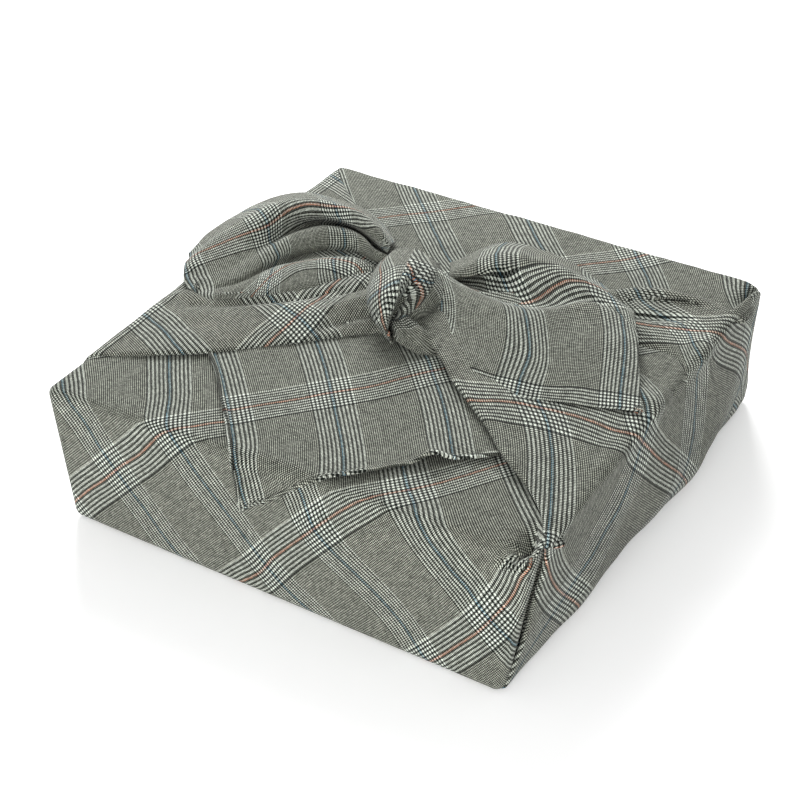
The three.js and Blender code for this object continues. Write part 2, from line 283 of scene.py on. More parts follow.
WIDTH, DEPTH, HEIGHT = 320, 335, 96  # mm, the box with its cloth
X, Y, Z = WIDTH / 2, DEPTH / 2, HEIGHT / 2
HALF_BOX = np.array([X, Y, Z])
INSIDE = np.array([0, 0, 40])  # mm, a point inside the box, which every skin faces away from
EDGE_ROUND = 6
SIDE_SWELL = 2  # mm that the sides bulge
TOP_CROWN = 2.5  # mm that the middle of the top stands up
BACK_RISE = 2  # mm that the top is higher at the back than at the front
CORNERS = {  # x and y at the top edge, and at the foot
    ("left", "front"): ((-164, -171), (-155, -168)),
    ("right", "front"): ((166, -166), (154, -176)),
    ("left", "back"): ((-166, 170), (-160, 170)),
    ("right", "back"): ((165, 164), (158, 174)),
}
SIDE_FOLDS = [  # side, its place along the side at the foot and at the top, proud, spread
    (1, 0.3, 0.1, 5, 0.09),
    (1, 0.67, 0.4, 11, 0.13),
    (1, 0.93, 0.78, 6, 0.07),
    (-1, 0.24, 0.38, 5, 0.1),
    (-1, 0.74, 0.6, 5, 0.1),
]


def mixed(a, b, share):
    """The value that share of the way from a to b."""
    return a + (b - a) * share


def over_box(x, y, z, lift=0.0):
    """Where cloth drawn over the box lies. x, y, z are a place on the plain box's surface, measured
    from its middle, and lift is how far above the cloth's first layer."""
    plain = np.stack(np.broadcast_arrays(*(np.asarray(v, float) for v in (x, y, z, lift))), -1)
    plain, lift = plain[..., :3], plain[..., 3:]
    core = HALF_BOX - EDGE_ROUND
    inner = np.clip(plain, -core, core)
    out = plain - inner
    out /= np.maximum(np.linalg.norm(out, axis=-1, keepdims=True), 1e-9)
    at = inner + out * (EDGE_ROUND + lift)
    across, deep, up = np.moveaxis(at / (2 * HALF_BOX) + 0.5, -1, 0)

    def corner(key, axis):
        """Where one corner is at each height."""
        top, foot = CORNERS[key]
        return mixed(foot[axis], top[axis], up)

    plan = [
        mixed(
            mixed(corner(("left", "front"), axis), corner(("right", "front"), axis), across),
            mixed(corner(("left", "back"), axis), corner(("right", "back"), axis), across),
            deep,
        )
        for axis in (0, 1)
    ]
    swell = np.sin(np.pi * np.sqrt(np.clip(up, 0, 1)))
    side = np.abs(2 * across - 1) ** 3 * np.sign(across - 0.5)
    push = SIDE_SWELL * np.sin(np.pi * np.clip(deep, 0, 1)) * swell
    for which, foot, top, proud, spread in SIDE_FOLDS:
        bell = np.exp(-(((deep - mixed(foot, top, up)) / spread) ** 2))
        push = push + np.where(which * side > 0, proud * swell * bell, 0)
    crown = BACK_RISE * deep + TOP_CROWN * np.sin(np.pi * across) * np.sin(np.pi * deep)
    rise = at[..., 2] + HEIGHT / 2 + crown * np.maximum(0, 2 * up - 1)
    return np.stack([plan[0] + push * side, plan[1], rise], -1)


def read_curve(values, places, at):
    """A smooth curve through values given at rising places, read at new places."""
    values, places, at = (np.asarray(v, float) for v in (values, places, at))
    gap = np.diff(places)
    gap_shaped = gap.reshape(-1, *[1] * (values.ndim - 1))
    slope = np.diff(values, axis=0) / gap_shaped
    tangent = np.empty_like(values)
    tangent[0], tangent[-1] = slope[0], slope[-1]
    tangent[1:-1] = (slope[:-1] * gap_shaped[1:] + slope[1:] * gap_shaped[:-1]) / (
        gap_shaped[1:] + gap_shaped[:-1]
    )
    k = np.clip(np.searchsorted(places, at, "right") - 1, 0, len(places) - 2)
    t = ((at - places[k]) / gap[k]).reshape(-1, *[1] * (values.ndim - 1))
    step = gap[k].reshape(t.shape)
    return (
        values[k] * (2 * t**3 - 3 * t**2 + 1)
        + values[k + 1] * (3 * t**2 - 2 * t**3)
        + tangent[k] * step * (t**3 - 2 * t**2 + t)
        + tangent[k + 1] * step * (t**3 - t**2)
    )


def chord_places(points):
    """0..1 along a row of points by the distance between them."""
    steps = np.linalg.norm(np.diff(points, axis=0), axis=-1) ** 0.75
    return np.concatenate([[0], np.cumsum(steps)]) / steps.sum()


def smooth_line(points, count):
    """count points evenly along a smooth line through the given ones."""
    points = np.asarray(points, float)
    return read_curve(points, chord_places(points[:, :3]), np.linspace(0, 1, count))


def normals_of(surface):
    """The unit normal at every point of a grid (n, m, 3)."""
    a = np.gradient(surface, axis=0)
    b = np.gradient(surface, axis=1)
    normal = np.cross(a, b)
    return normal / np.maximum(np.linalg.norm(normal, axis=-1, keepdims=True), 1e-9)


def crease(surface, route, widths, outward):
    """Raises a soft fold along a route of (x, y, z, height); a height below 0 sinks it.
    widths are its half widths to the left and the right of the route."""
    line = smooth_line(route, 60)
    ahead = np.gradient(line[:, :3], axis=0)
    flat = surface.reshape(-1, 3)
    away = flat[:, None, :] - line[None, :, :3]
    distance = np.linalg.norm(away, axis=-1)
    nearest = distance.argmin(1)
    rows = np.arange(len(flat))
    distance = distance[rows, nearest]
    up = outward.reshape(-1, 3)
    side = np.einsum("ij,ij->i", np.cross(ahead[nearest], away[rows, nearest]), up)
    width = np.where(side > 0, widths[0], widths[1])
    fall = np.exp(-((distance / width) ** 2))
    return surface + (line[nearest, 3] * fall)[:, None].reshape(*surface.shape[:2], 1) * outward


def wrinkled(surface, outward, seed, height):
    """Faint unevenness of cloth that has been folded and handled, the same each time."""
    rng = np.random.default_rng(seed)
    count = 14
    turn = rng.uniform(0, 2 * np.pi, count)
    spacing = rng.uniform(22, 80, count)  # mm from one wrinkle to the next
    tilt = rng.uniform(-0.5, 0.5, count)
    waves = np.stack([np.cos(turn), np.sin(turn), tilt]) * (2 * np.pi / spacing)
    start = rng.uniform(0, 2 * np.pi, count)
    rise = np.sin(surface @ waves + start).sum(-1) / 4
    return surface + (rise * height)[..., None] * outward


def thread_map(points, flat, turns, lines, hold=0.01):
    """Thread places (mm) over a piece: the plain check, bent as little as its lines allow. flat is
    the piece's own flattened grid, and turns are the turns of the blue and the rust lines on it in
    degrees. lines are (colour, number, points), each a coloured line that passes through those
    points; numbers rise from one line to the next. hold is how loosely they keep to them."""
    blue_turn, rust_turn = np.radians(turns)
    axes = np.array(
        [[math.cos(blue_turn), math.sin(blue_turn)], [-math.sin(rust_turn), math.cos(rust_turn)]]
    )
    spots, threads = flat.reshape(-1, 2), flat.reshape(-1, 2) @ axes.T
    low, high = spots.min(0), spots.max(0)
    steps = [np.linspace(low[i], high[i], 5) for i in (0, 1)]
    loose = np.stack(np.meshgrid(*steps), -1).reshape(-1, 2)
    loose_hold = 30.0  # for the places between the lines, which only keep the check from drifting
    reach = 100.0  # mm

    def bending(a, b):
        """A thin plate's bending at a under a push at b."""
        r2 = ((a[:, None] - b[None]) ** 2).sum(-1) / reach**2
        return 0.5 * r2 * np.log(r2 + 1e-12)

    for k, colour, repeat in ((0, "blue", BLUE_REPEAT), (1, "rust", RUST_REPEAT)):
        at, wanted = [], []
        for which, number, route in lines:
            for place in route if which == colour else []:
                nearest = np.linalg.norm(points.reshape(-1, 3) - np.array(place), axis=1).argmin()
                at.append(spots[nearest])
                wanted.append(number * repeat * THREAD + LINE_PLACE)
        if not at:
            continue
        at, wanted = np.array(at), np.array(wanted)
        start = (wanted - at @ axes[k]).mean()
        places = np.concatenate([at, loose])
        give = np.concatenate([np.full(len(at), hold), np.full(len(loose), loose_hold)])
        plane = np.column_stack([np.ones(len(places)), places / reach])
        plate = bending(places, places) + np.diag(give)
        matrix = np.block([[plate, plane], [plane.T, np.zeros((3, 3))]])
        off = np.concatenate([wanted - at @ axes[k] - start, np.zeros(len(loose) + 3)])
        solved = np.linalg.solve(matrix, off)
        bent = bending(spots, places) @ solved[:-3]
        bent += np.column_stack([np.ones(len(spots)), spots / reach]) @ solved[-3:]
        threads[:, k] += start + bent
    return threads.reshape(*flat.shape)


def grid_faces(rows, columns):
    """The corners of each face of a grid."""
    corner = np.arange(rows * columns).reshape(rows, columns)
    return np.stack(
        [corner[:-1, :-1], corner[1:, :-1], corner[1:, 1:], corner[:-1, 1:]], -1
    ).reshape(-1, 4)


SEAM_GAP = 0.05  # mm, within which the grids of one piece are joined


def cloth_piece(name, grids):
    """One piece of cloth from grids of (points mm, threads mm), its skins turned outwards."""
    points, faces, threads, count = [], [], [], 0
    for surface, place in grids:
        these = grid_faces(*surface.shape[:2])
        flat, flat_threads = surface.reshape(-1, 3), place.reshape(-1, 2)
        a, b, c = (flat[these[:, i]] for i in (0, 1, 2))
        out = np.einsum("ij,ij->", np.cross(b - a, c - a), a - INSIDE)
        if out < 0:
            these = these[:, ::-1]
        points.append(flat)
        threads.append(flat_threads[these].reshape(-1, 2))
        faces.append(these + count)
        count += len(flat)
    mesh = bpy.data.meshes.new(name)
    mesh.from_pydata(np.concatenate(points) / 1000, [], np.concatenate(faces).tolist())
    layer = mesh.uv_layers.new(name="cloth")
    layer.data.foreach_set("uv", (np.concatenate(threads) / 1000).astype(np.float32).ravel())
    mesh.polygons.foreach_set("use_smooth", np.ones(len(mesh.polygons), bool))
    mesh.materials.append(checked_cloth)
    piece = put_in_scene(name, mesh)
    if len(grids) > 1:
        weld = piece.modifiers.new("joined", "WELD")
        weld.merge_threshold = SEAM_GAP / 1000
    thick = piece.modifiers.new("thickness", "SOLIDIFY")
    thick.thickness = CLOTH / 1000
    thick.offset = -1
    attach(piece, "root")
    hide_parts("furoshiki_cloth")
    return piece


def spaced(low, high, step):
    """Places from low to high, 1 mm apart near both ends, where the cloth bends."""
    ends = np.arange(0, EDGE_ROUND + 1e-6)
    first, last = low + EDGE_ROUND, high - EDGE_ROUND
    inside = np.linspace(first, last, max(2, int((last - first) / step)))
    return np.unique(np.concatenate([low + ends, inside, high - ends]))


WRAP_STEP = 2.6  # mm from one grid line to the next
POCKET_STEP = 1.3  # at the pocket, which is POCKET_WIDE
POCKET_WIDE = 40
HIDDEN_STEP = 14
x_run = spaced(-X, X, WRAP_STEP)
pocket_run = np.arange(X - POCKET_WIDE, X - EDGE_ROUND, POCKET_STEP)
before, after = x_run[x_run < X - POCKET_WIDE], x_run[x_run > X - EDGE_ROUND - 0.1]
x_run = np.unique(np.concatenate([before, pocket_run, after]))
z_run = spaced(-Z, Z, WRAP_STEP)
y_run = spaced(-Y, Y, WRAP_STEP)
hidden_y = spaced(-Y, Y, HIDDEN_STEP)
FRONT_CORNER_END = 10  # mm behind the middle, where the front corner ends under the flap
front_top = y_run[y_run < FRONT_CORNER_END]
unrolled = np.concatenate([-(hidden_y[::-1] + Y) - HEIGHT, (z_run - Z)[1:], (front_top + Y)[1:]])
strip_y = np.concatenate([hidden_y[::-1], np.full(len(z_run) - 1, -Y), front_top[1:]])
strip_z = np.concatenate([np.full(len(hidden_y), -Z), z_run[1:], np.full(len(front_top) - 1, Z)])
strip = over_box(x_run[None], strip_y[:, None], strip_z[:, None])
strip_up = normals_of(strip)
strip_up *= np.sign((strip_up * (strip - INSIDE)).sum())
FRONT_CREASES = [  # the pocket where the cloth folds in under the right wing, and its lip
    ([(156.5, -145, 92, -6), (160.5, -158.5, 96.5, -15), (160.5, -163.5, 95, -24),
     (155.5, -162.5, 89, -22), (151.5, -163, 86.5, -12), (147, -165, 85.5, -5),
     (143, -167, 87, 0)], (2.2, 6)),
    ([(157.5, -141.5, 95.5, 0), (164.5, -158, 99, 5), (166, -165.5, 97.5, 6), (164, -169, 93, 6),
     (159, -170, 89, 5), (152, -168.5, 85, 3), (143, -167.5, 81.5, 0)], (7, 2.2)),
    ([(160.5, -167, 59, 0), (157, -168.5, 57.5, -1.5), (152.5, -170.5, 52.5, 0)], (3, 3)),
    ([(155, -151, 23, 0), (158, -169, 34.5, -1.5), (153, -172.5, 30, 0)], (3, 3)),
]
SIDE_CREASE = (  # where the side is drawn in behind the wing's front edge
    [(160, -163, 6, -3), (160, -159, 14, -9), (160, -155, 36, -13), (160, -153, 58, -13),
     (160, -151, 76, -11), (160, -151, 90, -5)],
    (5, 5),
)
for route, widths in FRONT_CREASES:
    strip = crease(strip, route, widths, strip_up)
parts = [(strip, np.stack(np.broadcast_arrays(x_run[None], unrolled[:, None]), -1))]
for side in (1, -1):
    upright = over_box(side * X, y_run[None], z_run[:, None])
    if side == 1:
        outward = np.broadcast_to([1.0, 0, 0], upright.shape)
        upright = crease(upright, *SIDE_CREASE, outward)
    round_corner = side * (X + y_run[None] + Y)
    parts.append((upright, np.stack(np.broadcast_arrays(round_corner, (z_run - Z)[:, None]), -1)))
back_x = spaced(-X, X, HIDDEN_STEP)
back_face = over_box(back_x[None], Y, z_run[:, None])
round_corner = X + DEPTH + X - back_x[None]
parts.append((back_face, np.stack(np.broadcast_arrays(round_corner, (z_run - Z)[:, None]), -1)))
INNER_LINES = [
    ("blue", 1, [(-162, -154, 94.5), (-152, -166, 96), (-143, -170.5, 90), (-136, -170.5, 81),
     (-126.5, -170, 66.5), (-117.5, -170, 56), (-105, -169.5, 42.5), (-94, -169.5, 30.5),
     (-83.5, -170, 18), (-75, -170, 10)]),
    ("blue", 2, [(-121.5, -103, 97), (-107.5, -120.5, 97), (-91, -142, 96.5), (-78, -160.5, 96),
     (-70, -168.5, 93.5), (-62, -169.5, 84), (-53, -169.5, 74), (-43, -170, 63.5),
     (-33, -170, 53), (-24, -170, 44.5), (-13.5, -170.5, 34), (11, -172, 12), (31.5, -171.5, 2)]),
    ("blue", 3, [(21.5, -168.5, 84.5), (29.5, -169.5, 62), (73.5, -171.5, 33), (81.5, -172, 27),
     (88, -172.5, 21.5), (93.5, -173, 16), (98.5, -173.5, 10.5), (103.5, -174, 6.5)]),
    ("blue", 4, [(69, -137.5, 96.5), (78.5, -148, 96.5), (88.5, -159, 96), (97.5, -167, 92),
     (104, -168, 82), (111, -168.5, 76), (120, -169, 69), (129, -169.5, 62), (135.5, -170.5, 54.5),
     (140.5, -171, 49), (144.5, -171, 45.5), (150, -171.5, 43), (154, -171.5, 42.5)]),
    ("rust", 3, [(-154, -166.5, 8.5), (-138, -169, 26.5), (-123, -169.5, 42.5), (-108.5, -170, 58),
     (-94.5, -170, 72), (-81, -170, 86), (-73.5, -168, 94), (-68.5, -164.5, 96),
     (-61.5, -157.5, 96.5), (-54.5, -151, 96.5), (-49.5, -146.5, 96.5)]),
    ("rust", 2, [(-21, -171.5, 6), (-10.5, -171, 17.5), (-0.5, -171, 31.5), (24.5, -170, 59),
     (46.5, -168.5, 83), (58, -166.5, 94), (69, -157, 96.5), (77.5, -148, 96.5),
     (89, -134.5, 96.5), (99, -120, 97), (109, -105.5, 97)]),
    ("rust", 1, [(111, -174.5, 6), (118, -174, 13.5), (127, -173, 24), (133.5, -172, 34),
     (140, -171.5, 42.5), (146, -170.5, 53), (152.5, -169.5, 63), (156.5, -168.5, 72),
     (160, -169.5, 82), (163.5, -170.5, 90.5)]),
]
ends = np.cumsum([surface.size // 3 for surface, flat in parts])[:-1]
all_points = np.concatenate([surface.reshape(-1, 3) for surface, flat in parts])
all_flat = np.concatenate([flat.reshape(-1, 2) for surface, flat in parts])
part_threads = np.split(thread_map(all_points, all_flat, (45, 45), INNER_LINES), ends)
inner_wrap = cloth_piece(
    "inner_wrap",
    [(surface, each.reshape(flat.shape)) for (surface, flat), each in zip(parts, part_threads)],
)

# ---------------------------------------------------------------- back flap
# The back corner of the square, drawn up the back of the box and over the top. Its point hangs
# over the front edge. Both its edges have a narrow turned and sewn hem.

FLAP_ROWS = [  # way back from the front top edge along the cloth, left edge, right edge, lift
    (-37.5, -21.2, -20.6, 1.3),
    (-33, -22, -17, 1.4),
    (-30, -22.3, -13, 1.5),
    (-24, -23, -4, 1.7),
    (-18, -23.5, 3.5, 1.9),
    (-12, -24.5, 10, 2.0),
    (-6, -25.5, 17, 2.1),
    (0, -27.5, 26.5, 2.2),
    (8, -34, 37, 2.1),
    (20, -43.5, 49.5, 2.0),
    (35, -56.5, 62.5, 1.9),
    (50, -69, 79, 1.8),
    (65, -82.5, 97, 1.7),
    (80, -98, 112, 1.6),
    (110, -126, 136, 1.5),
    (140, -150, 152, 1.4),
    (170, -158, 158, 1.3),
    (220, -159, 159, 1.3),
    (280, -159, 159, 1.3),
    (DEPTH, -159, 159, 1.3),
    (DEPTH + 50, -159, 159, 1.3),
    (DEPTH + HEIGHT - 3, -159, 159, 1.0),
]
HEM = 4.5  # mm, width of the turned hem


ROLL_TURNS = np.linspace(0, np.pi, 9)[1:]
TUCK_SHARES = (0.25, 0.6, 1)
ROLL_COLUMNS = len(ROLL_TURNS) + len(TUCK_SHARES)


def rolled(surface, flat, radius, tuck, sign=1.0):
    """Turns the last column of a grid under itself, as a folded edge lies, with that radius and
    tuck in mm. sign is -1 where the grid's own normals point in."""
    edge, flat_edge = surface[:, -1], flat[:, -1]
    radius, tuck = (np.broadcast_to(v, len(edge))[:, None] for v in (radius, tuck))
    up = normals_of(surface)[:, -2] * sign
    out = np.cross(np.gradient(edge, axis=0), up)
    out *= np.sign(np.einsum("ij,ij->i", out, edge - surface[:, -4]))[:, None]
    out /= np.maximum(np.linalg.norm(out, axis=-1, keepdims=True), 1e-9)
    way = np.gradient(flat_edge, axis=0)[:, ::-1] * [1, -1]
    way *= np.sign(np.einsum("ij,ij->i", way, flat_edge - flat[:, -4]))[:, None]
    way /= np.maximum(np.linalg.norm(way, axis=-1, keepdims=True), 1e-9)
    added, added_flat = [], []
    for turn in ROLL_TURNS:
        added.append(edge + radius * (np.sin(turn) * out - (1 - np.cos(turn)) * up))
        added_flat.append(flat_edge + way * radius * turn)
    turned_under = added[-1]
    for share in TUCK_SHARES:
        added.append(turned_under - out * tuck * share)
        added_flat.append(flat_edge + way * (radius * np.pi + tuck * share))
    return (
        np.concatenate([surface, np.stack(added, 1)], 1),
        np.concatenate([flat, np.stack(added_flat, 1)], 1),
    )


def both_edges_rolled(surface, flat, radii, tucks, sign=1.0):
    """Turns the last and the first column of a grid under, each with its own radius and tuck."""
    surface, flat = rolled(surface, flat, radii[0], tucks[0], sign)
    surface, flat = rolled(surface[:, ::-1], flat[:, ::-1], radii[1], tucks[1], -sign)
    return surface[:, ::-1], flat[:, ::-1]


flap_rows = np.array(FLAP_ROWS, float)
FLAP_GRID = (230, 150)  # points along the flap and across it
HEM_RISE = 0.6  # mm that the turned hem makes the cloth thicker
ASLANT = 0.71  # width of a band across the hanging point's edge, for 1 mm along x
behind = np.interp(np.linspace(0, 1, FLAP_GRID[0]), [0, 0.14, 0.28, 1], [-37.5, -12, 14, 428])
left_edge, right_edge, lift = read_curve(flap_rows[:, 1:], flap_rows[:, 0], behind).T[..., None]
flap_x = mixed(left_edge, right_edge, np.linspace(0, 1, FLAP_GRID[1])[None])
hem_height = np.interp(behind, [-37, -15, 0, 150, 160], [0, 0.5, HEM_RISE, HEM_RISE, 0])[:, None]
turned = np.zeros_like(flap_x)
for from_edge, share in ((flap_x - left_edge, 0.3), (right_edge - flap_x, 1)):
    turned += share * hem_height * 0.5 * (1 - np.tanh((from_edge * ASLANT - HEM) / 0.7))
flap_y = np.clip(behind - Y, -Y, Y)[:, None]
flap_z = (Z + np.minimum(behind, 0) - np.maximum(behind - DEPTH, 0))[:, None]
flap = over_box(flap_x, flap_y, flap_z, lift + turned)
flap_up = normals_of(flap)
flap_up *= np.sign(flap_up[FLAP_GRID[0] // 2, FLAP_GRID[1] // 2, 2])
FLAP_CREASES = [
    ([(77, -120, 101, 6), (70.5, -113.5, 101, 3.5), (63, -104, 101, 0)], (8, 8)),
    ([(159.5, 125.5, 98, -1), (161, 137, 96.5, -5), (162.5, 151.5, 95, -6), (162.5, 162, 92.5, -4)],
     (6, 6)),
]
for route, widths in FLAP_CREASES:
    flap = crease(flap, route, widths, flap_up)
flap = wrinkled(flap, flap_up, 3, 0.35)
flap_flat = np.stack(np.broadcast_arrays(flap_x, (behind - Y)[:, None]), -1)
flap_wide = (right_edge - left_edge)[:, 0]
HEM_LINE_IN = 3.0  # mm from the left edge to the blue line that follows it
HEM_LINE_ROWS = range(14, 120, 7)
near_hem = []
for row in HEM_LINE_ROWS:
    column = int(HEM_LINE_IN / flap_wide[row] * FLAP_GRID[1]) + 1
    near_hem.append(tuple(flap[row, column]))
FULL_WIDE = 12  # mm, below which the rolled edges shrink towards the tip
room = np.minimum(1, flap_wide / FULL_WIDE) * np.interp(behind, [140, 170], [1, 0])
radius, tuck = 0.05 + 0.2 * room, 0.1 + 1.4 * room
flap, flap_flat = both_edges_rolled(flap, flap_flat, (radius, radius), (tuck, tuck))
FLAP_LINES = [
    ("blue", 4, near_hem),
    ("blue", 5, [(-46.5, -48, 100.5), (-20.5, -76, 100.5), (-6, -95, 100), (14, -120, 99.5),
     (31.5, -141.5, 99)]),
    ("blue", 6, [(23.5, -32.5, 100.5), (35.5, -46.5, 100.5), (49.5, -62, 100.5), (66, -82.5, 99.5),
     (84, -107.5, 99.5)]),
    ("blue", 7, [(-103, 165.5, 99), (-59, 118, 100), (-31, 87, 100.5)]),
    ("blue", 8, [(-10.5, 165, 98.5), (21.5, 128.5, 100.5), (33.5, 117, 100)]),
    ("blue", 9, [(73, 161.5, 99), (86.5, 143.5, 99.5), (97, 131, 99.5), (105.5, 121, 99.5)]),
    ("blue", 10, [(156.5, 158, 98.5), (158, 151, 97.5)]),
    ("rust", 3, [(-50.5, -138.5, 99.5), (-42.5, -128.5, 99), (-27.5, -113, 99), (-18, -102.5, 99.5),
     (1.5, -81, 100), (20.5, -57, 100.5), (29.5, -44.5, 100.5), (37.5, -33, 100.5)]),
    ("rust", 4, [(44.5, 115.5, 100), (56.5, 128, 99.5), (62.5, 134.5, 100), (70.5, 141.5, 100),
     (77, 150, 99.5), (84.5, 163, 98)]),
    ("rust", 5, [(-102, 108, 99.5), (-76.5, 133, 100), (-52, 159.5, 99.5)]),
]
flap_threads = thread_map(flap, flap_flat, (45, 45), FLAP_LINES)
back_flap = cloth_piece("back_flap", [(flap, flap_threads)])

# ---------------------------------------------------------------- hem stitches
# Short pale stitches of sewing thread along the inner edge of the flap's turned hems, one row on
# each side of the hanging point. Each lies on the cloth and leans a little out of line.

STITCH = {"Pitch": 0.0032, "Stitch length": 0.0019, "Thread radius": 0.00017}  # m
LEAN = 0.12
sewing_thread = painted("sewing thread", {"Base Color": (0.21, 0.22, 0.185, 1), "Roughness": 0.8})


def stitching_nodes():
    """A run of stitches along the edges of a mesh line."""
    tree = bpy.data.node_groups.new("stitching", "GeometryNodeTree")
    sizes = [(name, "Float", size) for name, size in STITCH.items()]
    give_inputs(tree, [("Geometry", "Geometry", None), *sizes, ("Seed", "Int", 0)])
    tree.interface.new_socket("Geometry", in_out="OUTPUT", socket_type="NodeSocketGeometry")
    given = tree.nodes.new("NodeGroupInput").outputs
    path = made(tree, "GeometryNodeMeshToCurve", {"Mesh": given["Geometry"]}).outputs[0]
    spacing = {"Curve": path, "Length": given["Pitch"]}
    evenly = made(tree, "GeometryNodeResampleCurve", spacing, mode="LENGTH").outputs[0]
    size = {"Vertices": 6, "Radius": given["Thread radius"], "Depth": given["Stitch length"]}
    stitch = made(tree, "GeometryNodeMeshCylinder", size).outputs["Mesh"]
    along = tree.nodes.new("GeometryNodeInputTangent").outputs[0]
    spread = {0: (-LEAN, -LEAN, -LEAN), 1: (LEAN, LEAN, LEAN), "Seed": given["Seed"]}
    lean = made(tree, "FunctionNodeRandomValue", spread, data_type="FLOAT_VECTOR").outputs[0]
    way = made(tree, "ShaderNodeVectorMath", {0: along, 1: lean}, operation="ADD").outputs[0]
    turned = made(tree, "FunctionNodeAlignRotationToVector", {"Vector": way}, axis="Z").outputs[0]
    row = {"Points": evenly, "Instance": stitch, "Rotation": turned}
    placed = made(tree, "GeometryNodeInstanceOnPoints", row).outputs[0]
    real = made(tree, "GeometryNodeRealizeInstances", {0: placed}).outputs[0]
    sewn = made(tree, "GeometryNodeSetMaterial", {"Geometry": real, "Material": sewing_thread})
    made(tree, "NodeGroupOutput", {"Geometry": sewn.outputs[0]})
    return tree


stitching = stitching_nodes()


def stitched(name, rows, seed):
    """Stitches along each row of points (mm) as one piece."""
    line = bpy.data.meshes.new(name)
    points, edges = [], []
    for row in rows:
        edges += [(len(points) + i, len(points) + i + 1) for i in range(len(row) - 1)]
        points += [tuple(point / 1000) for point in row]
    line.from_pydata(points, edges, [])
    piece = put_in_scene(name, line)
    maker = piece.modifiers.new("stitches", "NODES")
    maker.node_group = stitching
    sockets = {
        item.name: item.identifier
        for item in stitching.interface.items_tree
        if item.in_out == "INPUT" and item.name != "Geometry"
    }
    for given, size in {**STITCH, "Seed": seed}.items():
        maker[sockets[given]] = size
    seen = piece.evaluated_get(bpy.context.evaluated_depsgraph_get())
    piece.data = bpy.data.meshes.new_from_object(seen)
    piece.modifiers.clear()
    bpy.data.meshes.remove(line)
    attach(piece, "root")
    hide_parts("furoshiki_cloth")
    return piece


def inset(surface, run, place):
    """A line over a grid, 120 points long, where run, which rises along each row, is place."""
    line = [
        [np.interp(place, run[i], surface[i, :, k]) for k in range(3)] for i in range(len(surface))
    ]
    return smooth_line(line, 120)


STITCH_LIFT = 0.12  # mm over the cloth
LEFT_ASLANT, RIGHT_ASLANT = 0.8, 0.72  # distance from each edge for 1 mm along x
sewn_rows = (behind > -31) & (behind < 150)
on_top = (flap[:, ROLL_COLUMNS:-ROLL_COLUMNS] + STITCH_LIFT * flap_up)[sewn_rows]
from_left = (flap_x - left_edge)[sewn_rows] * LEFT_ASLANT
from_right = (right_edge - flap_x)[sewn_rows] * RIGHT_ASLANT
left_row = inset(on_top, from_left, HEM)
right_row = inset(on_top[:, ::-1], from_right[:, ::-1], HEM)
flap_stitches = stitched("flap_stitches", [left_row, right_row], 5)

# ---------------------------------------------------------------- tied wings
# The left and right corners of the square, drawn up the two sides and across the top to the
# knot. Their slack is folded under along the front and the back edges, so those are round.

FOLD_SHARES = np.array([0, 0.14, 0.32, 0.46, 0.62, 0.76, 0.92, 1])  # across, from the back edge
SIDE_HEIGHTS = ((-47.6, 0.2), (-45, 1.2), (-34, 1.8), (-12, 1.8), (10, 1.8), (28, 1.8), (40, 1.8))
BACK_EDGE = 160  # mm behind the middle, where the wing starts on the side
PINNED = 150  # mm from the middle, where the flattened wing keeps its own place
WING_GRID = (200, 130)  # points along and across
EDGE_RADIUS = 1.9  # mm, of the edge folded under
NEAR_KNOT = -20  # a row of the grid


def wing_grid(side, front_edge, rows):
    """The wing's grid and its flattened grid, from the foot of the side to the knot. front_edge is
    where its front edge is on the side at each of SIDE_HEIGHTS, which are (height from the box's
    middle, lift). rows are (back edge, front edge, puff) over the top."""
    along, across = WING_GRID
    sections = []
    for (z, raised), front in zip(SIDE_HEIGHTS, front_edge):
        sections.append(over_box(side * X, mixed(BACK_EDGE, front, FOLD_SHARES), z, raised))
    for back, front, puff in rows:
        points = mixed(np.array(back, float), np.array(front, float), FOLD_SHARES[:, None])
        points[:, 2] += puff * (1 - np.abs(2 * FOLD_SHARES - 1) ** 3)
        sections.append(points)
    sections = np.stack(sections)
    middle = chord_places(sections[:, 4])
    surface = read_curve(sections, middle, np.linspace(0, 1, along))
    surface = read_curve(surface.transpose(1, 0, 2), FOLD_SHARES, np.linspace(0, 1, across))
    surface = surface.transpose(1, 0, 2)
    steps = np.linalg.norm(np.diff(surface[..., ::2], axis=0), axis=-1)
    run = np.concatenate([np.zeros((1, across)), np.cumsum(steps, 0)])
    top = np.abs(surface[:, across // 2, 0] - side * PINNED).argmin()
    run = side * (PINNED + run[top][None] - run)
    return surface, np.stack([run, surface[..., 1]], -1)


def finished_wing(name, grids, creases, seed, turns, lines):
    """A wing from its grid and its flattened grid, creased, with both edges folded under."""
    surface, flat = grids
    up = normals_of(surface)
    up *= np.sign(up[NEAR_KNOT, up.shape[1] // 2, 2])
    for route, widths in creases:
        surface = crease(surface, route, widths, up)
    surface = wrinkled(surface, up, seed, 0.4)
    sign = np.sign(normals_of(surface)[NEAR_KNOT, 40] @ up[NEAR_KNOT, 40])
    place = np.linspace(0, 1, len(surface))
    front = np.interp(place, [0, 0.05, 0.2, 1], [0.4, 1.2, EDGE_RADIUS, EDGE_RADIUS])
    back = np.interp(place, [0, 0.25, 0.4, 1], [0.4, 0.5, EDGE_RADIUS, EDGE_RADIUS])
    surface, flat = both_edges_rolled(surface, flat, (front, back), (5 * front, 5 * back), sign)
    wing = cloth_piece(name, [(surface, thread_map(surface, flat, turns, lines, 0.03))])


